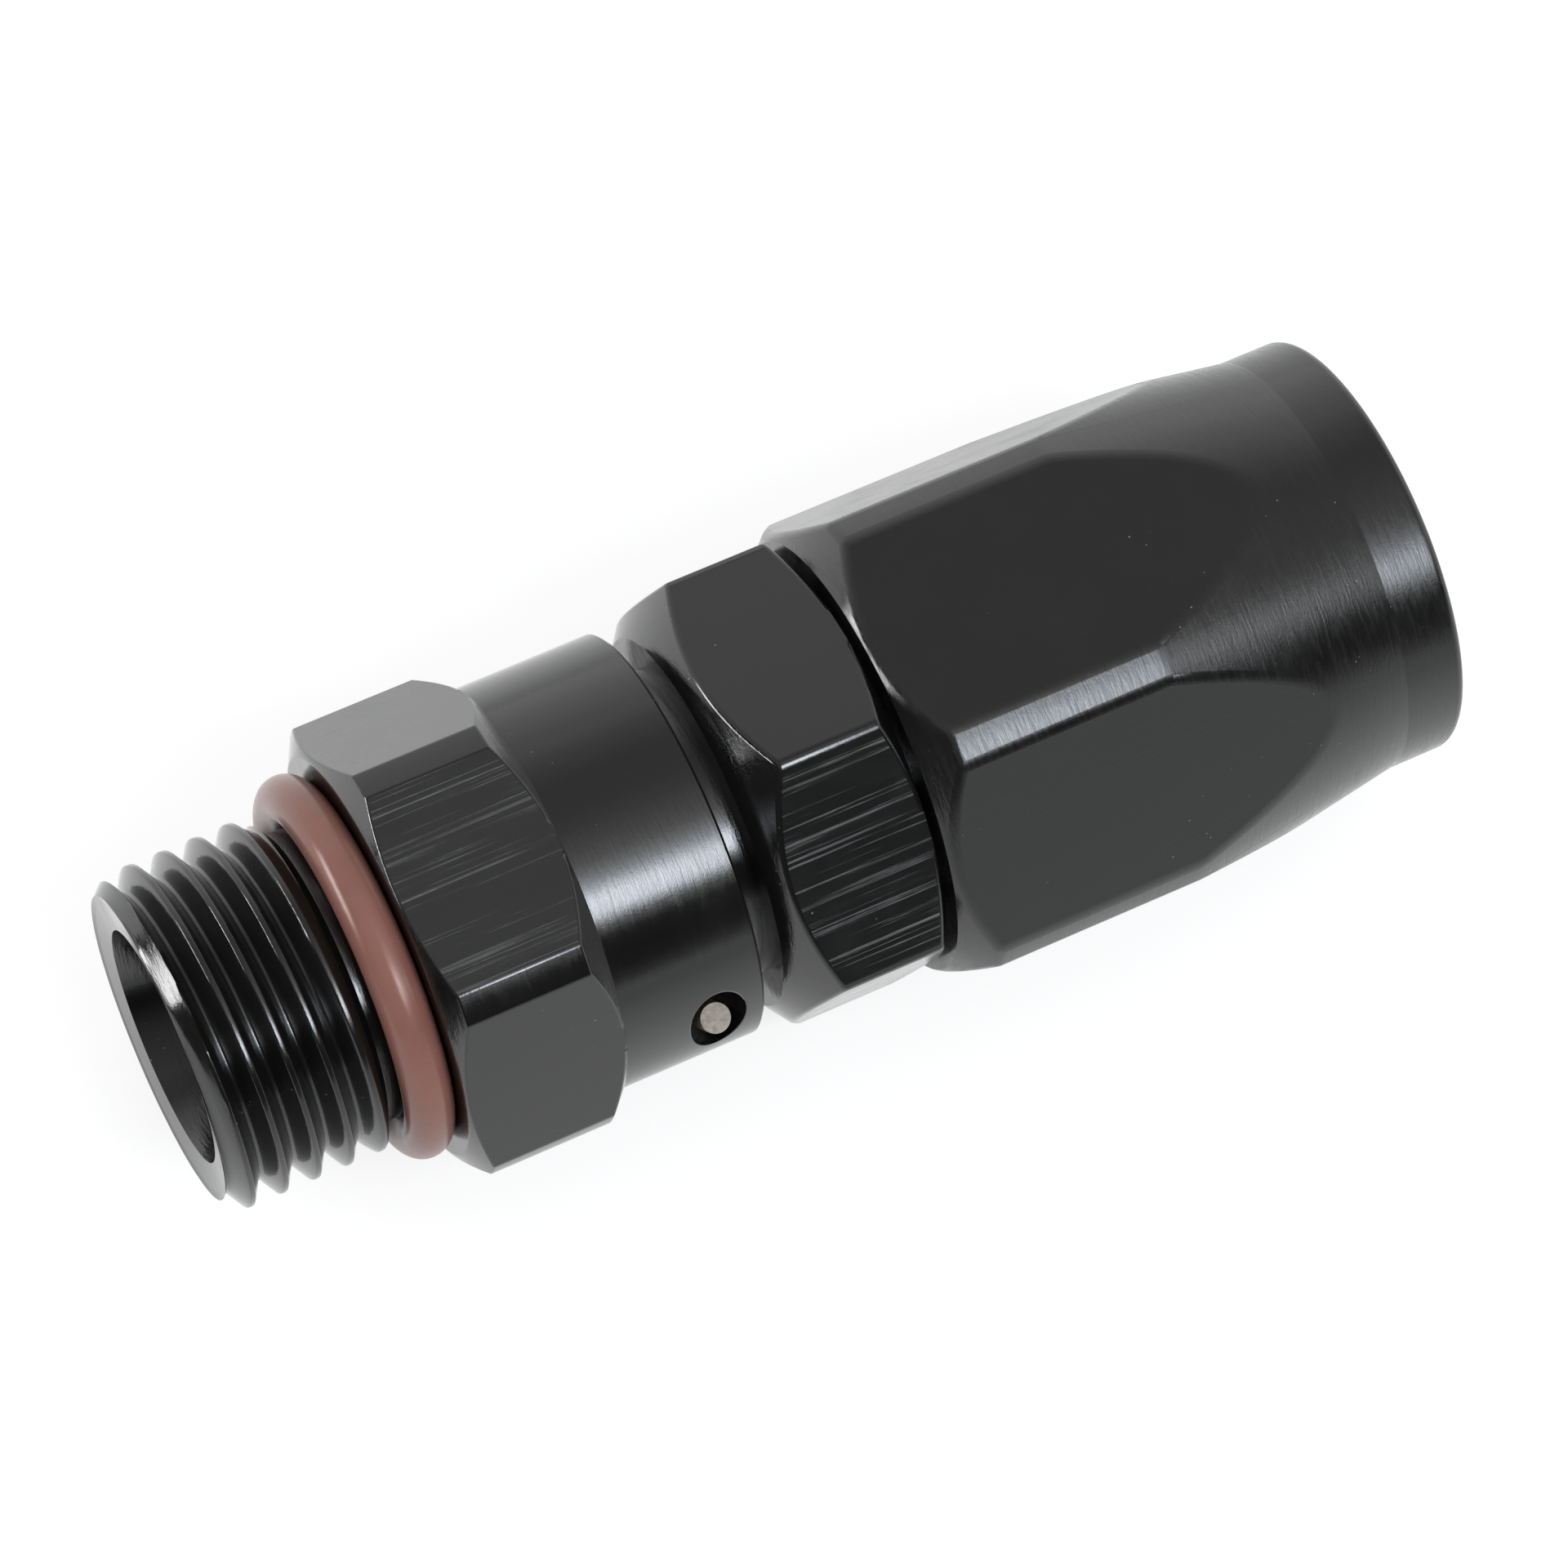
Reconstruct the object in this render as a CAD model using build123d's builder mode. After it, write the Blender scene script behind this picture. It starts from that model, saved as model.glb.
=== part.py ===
from build123d import *
import os
from math import cos, radians, sin, sqrt, tan

# Swivelling hose end: an O-ring port body turns on a nipple, and a hose socket screws over the
# nipple's insert to grip the hose. Millimetres. The hose axis is X, with the port thread towards
# -X and the hose leaving towards +X. The origin is the centre of the port thread's end face.
# +Z is up, and the fitting lies on one flat of the socket's hex.

# Port thread, 9/16-18, as rings of its own pitch and depth, with its O-ring seat
thread_dia = 14.2875
thread_pitch = 25.4 / 18
thread_depth = 0.85
thread_root_land = 0.35
thread_crest_land = 0.18
thread_first_crest = 0.79
run_out_depth = 0.6
end_chamfer = 0.67
port_stub_length = 9.43
seal_groove_width = 2.35
seal_groove_slope = 0.35
seal_groove_depth = 0.99
port_wall = 2.19
port_bore_chamfer = 0.25

# O-ring of the port, lying against the seat
port_ring_section = 2.02
port_ring_gap = 0.02

# Port hex, 11/16 across flats, one wrench size below the socket's, with turned corners
port_hex_less = 1.5875
port_corner_cut = 0.357
port_hex_length = 5.87
port_hex_turn = 12.3
seat_step = 0.18
seat_chamfer_angle = 28
port_bevel_angle = 47

# Swivel collar and the stem that turns in it
collar_step = 0.11
collar_wall = 2.02
collar_length = 6.0
collar_edge = 0.12
swivel_bore_chamfer = 0.3
swivel_clearance = 0.03
stem_end_gap = 0.4
stem_chamfer = 0.4

# Two O-rings between stem and collar
stem_ring_height = 1.46
stem_ring_width = 1.95
stem_ring_corner = 0.61
stem_ring_clearance = 0.02
stem_groove_width = 2.4
stem_ring_spacing = 3.0
ring_to_shoulder = 2.8
stem_wall = 1.5

# Retaining wire in its half grooves, with the tail in a slanted hole
wire_dia = 1.25
wire_clearance = 0.05
wire_setback = 2.05
wire_to_ring = 2.9
wire_hole_dia = 2.4
wire_entry_angle = 213.2
wire_wrap_angle = 308
wire_tail_sunk = 0.45

# Middle hex of the nipple, with its corners just broken
middle_hex_less = 1.4
middle_corner_cut = 0.065
middle_hex_length = 6.75
middle_hex_turn = -11.6
middle_front_rise = 2.175
middle_front_angle = 53
middle_rear_fall = 1.275
middle_rear_angle = 60
swivel_gap = 1.12

# Shank and hose insert of the nipple
shank_length = 7.7
shank_chamfer = 0.6
cutter_step = 0.95
cutter_fall = 0.35
cutter_length = 1.5
cutter_recess = 0.9
insert_fall = 0.5
insert_wall = 0.75
insert_length = 12.2
bore_edge = 0.2
barb_count = 4
barb_pitch = 2.2
barb_slope_length = 1.1
barb_height = 0.16
barb_setback = 1.6
insert_nose = 0.35

# Hose socket, 3/4 across flats, cone and rim
socket_gap = 0.3
socket_hex_flats = 19.05
socket_corner_cut = 0.423
socket_hex_length = 10.45
socket_front_chamfer = 1.28
cone_angle = 9.0
rim_step = 0.55
rim_wall = 1.475
rim_length = 2.65
rim_round = 0.4
screw_step = 0.55
screw_clearance = 0.05
screw_bore_length = 7.6
screw_bore_chamfer = 0.5
rib_count = 6
rib_pitch = 1.9
rib_height = 0.35
rib_slope_length = 1.2
rib_land = 0.35
rib_root_sunk = 0.35
mouth_relief = 0.1
mouth_length = 3.0
mouth_chamfer = 0.4

# Hexes, each measured from the socket's, so that the whole fitting follows one wrench size
hex_corner = cos(radians(30))
port_hex_flats = socket_hex_flats - port_hex_less
middle_hex_flats = socket_hex_flats - middle_hex_less

# Radii of the port body
thread_r = thread_dia / 2
thread_end_r = thread_r - end_chamfer
seal_groove_r = thread_r - seal_groove_depth
port_bore_r = thread_r - port_wall
port_turned_r = port_hex_flats / 2 / hex_corner - port_corner_cut
seat_r = port_hex_flats / 2 - seat_step
collar_r = port_hex_flats / 2 - collar_step
swivel_bore_r = collar_r - collar_wall

# Radii of the nipple's stem, middle hex and insert
stem_r = swivel_bore_r - swivel_clearance
stem_groove_r = swivel_bore_r - stem_ring_height - 2 * stem_ring_clearance
wire_line_r = swivel_bore_r
wire_groove_r = wire_dia / 2 + wire_clearance
middle_turned_r = middle_hex_flats / 2 / hex_corner - middle_corner_cut
middle_front_r = middle_turned_r - middle_front_rise
middle_rear_r = middle_turned_r - middle_rear_fall
flow_bore_r = stem_groove_r - stem_wall
insert_tip_r = flow_bore_r + insert_wall
insert_root_r = insert_tip_r + insert_fall

# Radii of the socket, and of the shank inside it
socket_turned_r = socket_hex_flats / 2 / hex_corner - socket_corner_cut
rim_r = socket_hex_flats / 2 - rim_step
hose_bore_r = rim_r - rim_wall
mouth_r = hose_bore_r + mouth_relief
screw_bore_r = hose_bore_r - screw_step
shank_r = screw_bore_r - screw_clearance
cutter_root_r = shank_r - cutter_step
cutter_tip_r = cutter_root_r - cutter_fall

# Stations along the axis, from the thread's end face
seat = port_stub_length
port_hex_rear = seat + port_hex_length
collar_front = port_hex_rear + (port_turned_r - collar_r) / tan(radians(port_bevel_angle))
collar_rear = collar_front + collar_length
wire_station = collar_rear - wire_setback
rear_ring_station = wire_station - wire_to_ring
front_ring_station = rear_ring_station - stem_ring_spacing
shoulder = front_ring_station - ring_to_shoulder
stem_front = shoulder + stem_end_gap
middle_front = collar_rear + swivel_gap
middle_rear = middle_front + middle_hex_length
socket_front = middle_rear + socket_gap
shank_end = middle_rear + shank_length
insert_tip = shank_end + insert_length
cone_front = socket_front + socket_hex_length
rim_front = cone_front + (socket_turned_r - rim_r) / tan(radians(cone_angle))
rim_rear = rim_front + rim_length
mouth_front = rim_rear - mouth_length

# The thread ends at the O-ring's groove, with a last, shallower turn
thread_end = seat - seal_groove_width - seal_groove_slope
full_groove_count = int((thread_end - thread_first_crest) / thread_pitch) - 1

# Where the wire's straight tail leaves its ring, and the way it points
entry = radians(wire_entry_angle)
tail_start = (wire_line_r * cos(entry), wire_line_r * sin(entry))
tail_way = (sin(entry), -cos(entry))
tail_length = sqrt(collar_r**2 - wire_line_r**2) - wire_tail_sunk


def along_tail(distance):
    """Point of the tail's centre line, as Y and Z, at a distance from where it leaves the ring."""
    return (tail_start[0] + distance * tail_way[0], tail_start[1] + distance * tail_way[1])


def outside_hex(across_flats, turn, blank_r):
    """Sketch of all that lies outside a hexagon, to mill the flats of a turned blank."""
    with BuildSketch(mode=Mode.PRIVATE) as waste:
        Circle(2 * blank_r)
        RegularPolygon(across_flats / 2, 6, major_radius=False, rotation=turn, mode=Mode.SUBTRACT)
    return waste.sketch


def thread_groove(crest_station, depth):
    """Points of one groove of the thread, from the crest before it to the crest after it."""
    return [
        (crest_station + thread_crest_land / 2, thread_r),
        (crest_station + (thread_pitch - thread_root_land) / 2, thread_r - depth),
        (crest_station + (thread_pitch + thread_root_land) / 2, thread_r - depth),
        (crest_station + thread_pitch - thread_crest_land / 2, thread_r),
    ]


with BuildPart() as port_body:
    # Turned outline: end chamfer, thread, O-ring groove, hex blank and collar
    with BuildSketch(Plane.XZ):
        with BuildLine():
            seat_chamfer = (port_turned_r - seat_r) * tan(radians(seat_chamfer_angle))
            thread_points = []
            for i in range(full_groove_count):
                thread_points += thread_groove(thread_first_crest + i * thread_pitch, thread_depth)
            last_crest = thread_first_crest + full_groove_count * thread_pitch
            thread_points += thread_groove(last_crest, run_out_depth)
            Polyline(
                (0, port_bore_r + port_bore_chamfer),
                (0, thread_end_r),
                (end_chamfer, thread_r),
                *thread_points,
                (thread_end, thread_r),
                (seat - seal_groove_width, seal_groove_r),
                (seat, seal_groove_r),
                (seat, seat_r),
                (seat + seat_chamfer, port_turned_r),
                (port_hex_rear, port_turned_r),
                (collar_front, collar_r),
                (collar_rear - collar_edge, collar_r),
                (collar_rear, collar_r - collar_edge),
                (collar_rear, swivel_bore_r + swivel_bore_chamfer),
                (collar_rear - swivel_bore_chamfer, swivel_bore_r),
                (shoulder, swivel_bore_r),
                (shoulder, port_bore_r),
                (port_bore_chamfer, port_bore_r),
                close=True,
            )
        make_face()
    revolve(axis=Axis.X)
    # Hex flats, from the seat to where the bevel ends
    with BuildSketch(Plane.YZ.offset(seat)):
        add(outside_hex(port_hex_flats, port_hex_turn, port_turned_r))
    extrude(amount=collar_front - seat, mode=Mode.SUBTRACT)
    # Outer half of the wire's groove
    with BuildSketch(Plane.XZ):
        with Locations((wire_station, wire_line_r)):
            Circle(wire_groove_r)
    revolve(axis=Axis.X, mode=Mode.SUBTRACT)
    # Slanted hole that the wire is fed through, tangent to its groove
    hole_plane = Plane(
        origin=(wire_station, *tail_start),
        x_dir=(1, 0, 0),
        z_dir=(0, *tail_way),
    )
    with BuildSketch(hole_plane):
        Circle(wire_hole_dia / 2)
    extrude(amount=2 * collar_r, mode=Mode.SUBTRACT)
port_body.part.label = "port_body"

with BuildPart() as port_o_ring:
    with BuildSketch(Plane.XZ):
        ring_station = seat - port_ring_gap - port_ring_section / 2
        with Locations((ring_station, seal_groove_r + port_ring_section / 2)):
            Circle(port_ring_section / 2)
    revolve(axis=Axis.X)
port_o_ring.part.label = "port_o_ring"

with BuildPart() as retaining_wire:
    wire_plane = Plane.YZ.offset(wire_station)
    with BuildLine(wire_plane) as wire_path:
        Line(along_tail(tail_length), tail_start)
        CenterArc((0, 0), wire_line_r, wire_entry_angle, wire_wrap_angle)
    with BuildSketch(Plane(origin=wire_path.wire() @ 0, z_dir=wire_path.wire() % 0)):
        Circle(wire_dia / 2)
    sweep(path=wire_path.wire())
retaining_wire.part.label = "retaining_wire"

stem_rings = {}
for ring_name, ring_station in (
    ("swivel_o_ring_front", front_ring_station),
    ("swivel_o_ring_rear", rear_ring_station),
):
    ring_mid_r = swivel_bore_r - stem_ring_clearance - stem_ring_height / 2
    with BuildPart() as stem_ring:
        # Squeezed between groove and bore, so its section is flattened
        with BuildSketch(Plane.XZ):
            with Locations((ring_station, ring_mid_r)):
                RectangleRounded(stem_ring_width, stem_ring_height, stem_ring_corner)
        revolve(axis=Axis.X)
    stem_ring.part.label = ring_name
    stem_rings[ring_name] = stem_ring.part

with BuildPart() as nipple:
    # Turned outline: stem, hex blank, shank, cutter lip and tapered insert with its bore
    with BuildSketch(Plane.XZ):
        with BuildLine():
            front_bevel = middle_front_rise / tan(radians(middle_front_angle))
            rear_bevel = middle_rear_fall / tan(radians(middle_rear_angle))
            taper = insert_fall / insert_length
            barb_points = []
            for i in range(barb_count):
                barb_end = insert_tip - barb_setback - (barb_count - 1 - i) * barb_pitch
                barb_r = insert_root_r - taper * (barb_end - shank_end)
                barb_points.append((barb_end - barb_slope_length, barb_r + taper * barb_slope_length))
                barb_points.append((barb_end, barb_r + barb_height))
                barb_points.append((barb_end, barb_r))
            Polyline(
                (stem_front, flow_bore_r + bore_edge),
                (stem_front, stem_r - stem_chamfer),
                (stem_front + stem_chamfer, stem_r),
                (front_ring_station - stem_groove_width / 2, stem_r),
                (front_ring_station - stem_groove_width / 2, stem_groove_r),
                (front_ring_station + stem_groove_width / 2, stem_groove_r),
                (front_ring_station + stem_groove_width / 2, stem_r),
                (rear_ring_station - stem_groove_width / 2, stem_r),
                (rear_ring_station - stem_groove_width / 2, stem_groove_r),
                (rear_ring_station + stem_groove_width / 2, stem_groove_r),
                (rear_ring_station + stem_groove_width / 2, stem_r),
                (middle_front, stem_r),
                (middle_front, middle_front_r),
                (middle_front + front_bevel, middle_turned_r),
                (middle_rear - rear_bevel, middle_turned_r),
                (middle_rear, middle_rear_r),
                (middle_rear, shank_r),
                (shank_end - shank_chamfer, shank_r),
                (shank_end, shank_r - shank_chamfer),
                (shank_end, cutter_root_r),
                (shank_end + cutter_length, cutter_tip_r),
                (shank_end - cutter_recess, insert_root_r),
                *barb_points,
                (insert_tip - insert_nose, insert_tip_r),
                (insert_tip, insert_tip_r - insert_nose),
                (insert_tip, flow_bore_r + bore_edge),
                (insert_tip - bore_edge, flow_bore_r),
                (stem_front + bore_edge, flow_bore_r),
                close=True,
            )
        make_face()
    revolve(axis=Axis.X)
    # Hex flats
    with BuildSketch(Plane.YZ.offset(middle_front)):
        add(outside_hex(middle_hex_flats, middle_hex_turn, middle_turned_r))
    extrude(amount=middle_hex_length, mode=Mode.SUBTRACT)
    # Inner half of the wire's groove
    with BuildSketch(Plane.XZ):
        with Locations((wire_station, wire_line_r)):
            Circle(wire_groove_r)
    revolve(axis=Axis.X, mode=Mode.SUBTRACT)
nipple.part.label = "nipple"

with BuildPart() as hose_socket:
    # Turned outline: front chamfer, hex blank, cone and rim, and the stepped bore inside
    with BuildSketch(Plane.XZ) as socket_profile:
        with BuildLine():
            Polyline(
                (socket_front, screw_bore_r + screw_bore_chamfer),
                (socket_front, socket_turned_r - socket_front_chamfer),
                (socket_front + socket_front_chamfer, socket_turned_r),
                (cone_front, socket_turned_r),
                (rim_front, rim_r),
                (rim_rear, rim_r),
                (rim_rear, mouth_r + mouth_chamfer),
                (rim_rear - mouth_chamfer, mouth_r),
                (mouth_front, mouth_r),
                (mouth_front, hose_bore_r),
                (socket_front + screw_bore_length, hose_bore_r),
                (socket_front + screw_bore_length, screw_bore_r),
                (socket_front + screw_bore_chamfer, screw_bore_r),
                close=True,
            )
        make_face()
        rim_corner = socket_profile.vertices().sort_by(Axis.X)[-2:].sort_by(Axis.Z)[-1]
        fillet(rim_corner, radius=rim_round)
    revolve(axis=Axis.X)
    # Grip ribs: rings with a sloped side towards the mouth and a steep side towards the hex
    with BuildSketch(Plane.XZ):
        for i in range(rib_count):
            rib_rear = mouth_front - i * rib_pitch
            rib_front = rib_rear - rib_slope_length - rib_land
            with BuildLine():
                Polyline(
                    (rib_rear, hose_bore_r),
                    (rib_rear - rib_slope_length, hose_bore_r - rib_height),
                    (rib_front, hose_bore_r - rib_height),
                    (rib_front, hose_bore_r + rib_root_sunk),
                    (rib_rear, hose_bore_r + rib_root_sunk),
                    close=True,
                )
            make_face()
    revolve(axis=Axis.X)
    # Hex flats: they run out on the cone
    with BuildSketch(Plane.YZ.offset(socket_front)):
        add(outside_hex(socket_hex_flats, 0, socket_turned_r))
    extrude(amount=rim_front - socket_front, mode=Mode.SUBTRACT)
hose_socket.part.label = "hose_socket"

os.makedirs("parts", exist_ok=True)
export_step(port_body.part, "parts/port_body.step")
export_step(port_o_ring.part, "parts/port_o_ring.step")
export_step(retaining_wire.part, "parts/retaining_wire.step")
for ring_name, ring_part in stem_rings.items():
    export_step(ring_part, f"parts/{ring_name}.step")
export_step(nipple.part, "parts/nipple.step")
export_step(hose_socket.part, "parts/hose_socket.step")
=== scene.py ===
from math import cos, hypot, pi, radians, sin, tan

import bmesh
import bpy
from bpy.props import FloatProperty, FloatVectorProperty, IntProperty, PointerProperty
from mathutils import Matrix, Vector


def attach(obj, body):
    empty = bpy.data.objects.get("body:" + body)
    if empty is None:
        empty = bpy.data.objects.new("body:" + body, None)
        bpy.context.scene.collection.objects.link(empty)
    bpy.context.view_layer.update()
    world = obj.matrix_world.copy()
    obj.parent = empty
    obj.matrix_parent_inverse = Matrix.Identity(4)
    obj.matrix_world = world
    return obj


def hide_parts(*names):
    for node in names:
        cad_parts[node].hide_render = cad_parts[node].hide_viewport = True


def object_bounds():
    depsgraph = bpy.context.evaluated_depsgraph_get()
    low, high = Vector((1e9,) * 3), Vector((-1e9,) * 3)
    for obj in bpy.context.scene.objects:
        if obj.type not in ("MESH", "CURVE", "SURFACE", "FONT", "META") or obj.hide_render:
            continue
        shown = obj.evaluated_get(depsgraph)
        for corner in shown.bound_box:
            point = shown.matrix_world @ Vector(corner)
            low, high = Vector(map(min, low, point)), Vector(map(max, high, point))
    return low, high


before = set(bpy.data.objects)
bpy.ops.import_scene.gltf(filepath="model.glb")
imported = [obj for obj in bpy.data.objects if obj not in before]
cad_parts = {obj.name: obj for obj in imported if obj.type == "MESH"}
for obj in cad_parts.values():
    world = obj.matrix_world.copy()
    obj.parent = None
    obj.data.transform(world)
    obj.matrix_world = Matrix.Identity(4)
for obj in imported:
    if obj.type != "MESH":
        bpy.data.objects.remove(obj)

bl_info = {
    "name": "Swivel hose end",
    "version": (1, 0, 0),
    "blender": (4, 5, 0),
    "location": "View3D > Sidebar > Hose end",
    "description": "Dresses the swivel hose end and lights it on a pale table",
    "category": "Object",
}

CAD_BOX = [list(corner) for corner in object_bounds()]
MM = 0.001
INCH = 25.4

# Port body as its solid has it: stations along the axis and radii in millimetres, angles in degrees
PORT_FLATS = 17.4625
PORT_TURN = 12.3
PORT_BEVEL = 28
PORT_TURNED_R = 9.7249
PORT_HEX_REAR = 15.3
PORT_BORE_R = 4.954
SEAT = 9.43
SEAT_R = 8.551
THREAD_END = 6.73
THREAD_CHAMFER = 0.67
GROOVE_FRONT = 7.08
GROOVE_R = 6.154
SEAL_SECTION_R = 1.01
SEAL_GAP = 0.02
COLLAR_FRONT = 16.329
COLLAR_REAR = 22.329
COLLAR_R = 8.62125
COLLAR_EDGE = 0.12
SWIVEL_BORE_R = 6.60125
SWIVEL_BORE_CHAMFER = 0.3
SHOULDER = 11.579
WIRE_X = 20.279
WIRE_GROOVE_R = 0.675
WIRE_ENTRY = 213.2
WIRE_HOLE_R = 1.2
DRILL_LENGTH = 12.0

# Fine forms of the port body that its solid leaves out, in millimetres
ENTRY_R = 4.5
ENTRY_END = 2.6
DISH_DEPTH = 0.2
LIP_X = 0.059
LIP_R = 6.2
RUN_OUT_START = 5.4
RUN_OUT_LENGTH = 1.2
RUN_OUT_FILL = 0.4

# Where its sharp edges are looked for: how far behind the hex, to each side of the wire hole's
# middle, and below the collar's surface
FLATS_RUN_OUT = 0.9
HOLE_BAND = 1.4
HOLE_RIM_DEPTH = 0.1

# Half of the thread's outline from root to crest, as shares of the pitch and of the depth
THREAD_FORM = (
    (0.0, 1.0), (0.045, 0.99), (0.085, 0.935), (0.17, 0.70), (0.25, 0.48), (0.33, 0.265),
    (0.41, 0.05), (0.43, 0.012), (0.455, 0.0), (0.5, 0.0))
THREADS_TO_INCH = 18

# The thread's sweep: steps in a turn, turns beyond its stretch, and those that come before it
TURN_STEPS = 120
SPARE_TURNS = 4
LEAD_TURNS = 2.5

# Nipple, in the same units
FRONT_RING = 14.379
REAR_RING = 17.379
STEM_FRONT = 11.979
STEM_R = 6.57125
STEM_CHAMFER = 0.4
STEM_GROOVE_R = 5.10125
STEM_GROOVE_WIDTH = 2.4
FLOW_R = 3.601
FLOW_CHAMFER = 0.2
MIDDLE_FLATS = 17.65
MIDDLE_TURN = -11.6
MIDDLE_FRONT = 23.449
MIDDLE_REAR = 30.199
MIDDLE_TURNED_R = 10.1254
MIDDLE_FRONT_R = 7.950
MIDDLE_REAR_R = 8.850
MIDDLE_FRONT_BEVEL = 53
MIDDLE_REAR_BEVEL = 60
SHANK_R = 6.9
SHANK_END = 37.899
SHANK_CHAMFER = 0.6
CUTTER_ROOT_R = 5.95
CUTTER_TIP_R = 5.6
CUTTER_LENGTH = 1.5
CUTTER_POCKET = 0.9
INSERT_ROOT_R = 4.851
INSERT_TIP_R = 4.351
INSERT_TIP = 50.099
INSERT_CHAMFER = 0.35
BARBS = 4
BARB_PITCH = 2.2
BARB_RUN = 1.1
BARB_HEIGHT = 0.16
BARB_TO_TIP = 1.6

# Hose socket, in the same units
SOCKET_FLATS = 19.05
SOCKET_TURN = 0.0
SOCKET_FRONT = 30.499
SOCKET_TURNED_R = 10.5755
SOCKET_CHAMFER = 1.28
CONE_FRONT = 40.949
RIM_FRONT = 51.055
RIM_REAR = 53.705
RIM_R = 8.975
RIM_ROUND = 0.4
SCREW_BORE_R = 6.95
SCREW_BORE_END = 38.099
SCREW_BORE_CHAMFER = 0.5
HOSE_BORE_R = 7.5
MOUTH_R = 7.6
MOUTH_FRONT = 50.705
MOUTH_CHAMFER = 0.4
RIBS = 6
RIB_PITCH = 1.9
RIB_RAMP = 1.2
RIB_WIDTH = 1.55
RIB_HEIGHT = 0.35

# How strongly each flat is scored: not at all up to 0.5, fully from 0.9 on
PORT_SCORED = (0.7, 1.0, 0.5, 0.3, 0.7, 0.3)
MIDDLE_SCORED = (0.3, 0.3, 1.0, 0.5, 0.3, 0.5)
SOCKET_SCORED = (0.3, 0.3, 0.3, 0.5, 0.3, 0.3)

# Steps of the round forms
ARC_STEPS = 24
RIM_STEPS = 18
SEAL_STEPS = 45
HOLE_STEPS = 64

# Tolerances in millimetres, and the least cosine between directions that count as the same
NEAR = 0.01
SAME = 1e-3
CUT_DIST = 1e-4
SAME_WAY = 0.99999

# Only a milled flat has more corners than this
MOST_TURNED_CORNERS = 12

# Creases in degrees between fine faces, which are smaller than this, and between others
FINE_FACE = 0.3
FINE_CREASE = 35
PLAIN_CREASE = 2


class HoseEndSizes(bpy.types.PropertyGroup):
    """Sizes of the thread and of the broken edges."""

    pitch: FloatProperty(
        name="Thread pitch", description="Distance between two crests",
        default=INCH / THREADS_TO_INCH * MM, min=0.0005, max=0.003, unit="LENGTH", precision=5)
    major_radius: FloatProperty(
        name="Thread radius", description="Radius over the crests", default=7.14375 * MM,
        min=0.005, max=0.01, unit="LENGTH", precision=5)
    thread_depth: FloatProperty(
        name="Thread depth", description="Height from root to crest", default=0.85 * MM,
        min=0.0002, max=0.0015, unit="LENGTH", precision=5)
    thread_shift: FloatProperty(
        name="Thread start", description="Station of the first crest at the top of the thread",
        default=0.48 * MM, min=0.0, max=0.002, unit="LENGTH", precision=5)
    edge_break: FloatProperty(
        name="Broken edge", description="Width of the small rounding on the sharp edges",
        default=0.07 * MM, min=0.0, max=0.0003, unit="LENGTH", precision=5)
    corner_break: FloatProperty(
        name="Middle hex corner", description="Width of the rounding on the middle hex's edges",
        default=0.15 * MM, min=0.0, max=0.0003, unit="LENGTH", precision=5)
    socket_break: FloatProperty(
        name="Socket rounding", description="Width of the rounding on the socket's edges",
        default=0.26 * MM, min=0.0, max=0.0003, unit="LENGTH", precision=5)
    round_steps: IntProperty(
        name="Round steps", description="Faces around a turned surface",
        default=240, min=48, max=480)


class HoseEndColours(bpy.types.PropertyGroup):
    """Colours of the finishes."""

    anodised: FloatVectorProperty(
        name="Anodised black", description="Dye colour of the anodised aluminium",
        default=(0.0055, 0.0058, 0.0052), subtype="COLOR", min=0.0, max=1.0)
    worn: FloatVectorProperty(
        name="Worn lines", description="Aluminium showing in the milled flats' scored lines",
        default=(0.16, 0.16, 0.155), subtype="COLOR", min=0.0, max=1.0)
    dust: FloatVectorProperty(
        name="Dust", description="Colour of the tiny specks of dust",
        default=(0.30, 0.30, 0.29), subtype="COLOR", min=0.0, max=1.0)
    port_seal: FloatVectorProperty(
        name="Port seal", description="Brown-pink of the port's O-ring",
        default=(0.25, 0.113, 0.09), subtype="COLOR", min=0.0, max=1.0)
    swivel_seal: FloatVectorProperty(
        name="Swivel seals", description="Black of the two O-rings inside the swivel",
        default=(0.012, 0.012, 0.012), subtype="COLOR", min=0.0, max=1.0)
    steel: FloatVectorProperty(
        name="Wire steel", description="Colour of the wire's cut end",
        default=(0.42, 0.375, 0.32), subtype="COLOR", min=0.0, max=1.0)


# Shader arithmetic


class Signal:
    """An output socket that can be used in plain arithmetic."""

    def __init__(self, finish, socket):
        self.finish = finish
        self.socket = socket

    def _maths(self, operation, first, second):
        return self.finish.node("ShaderNodeMath", {"operation": operation}, {0: first, 1: second})

    def __add__(self, other):
        return self._maths("ADD", self, other)

    __radd__ = __add__

    def __sub__(self, other):
        return self._maths("SUBTRACT", self, other)

    def __rsub__(self, other):
        return self._maths("SUBTRACT", other, self)

    def __mul__(self, other):
        return self._maths("MULTIPLY", self, other)

    __rmul__ = __mul__


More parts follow.
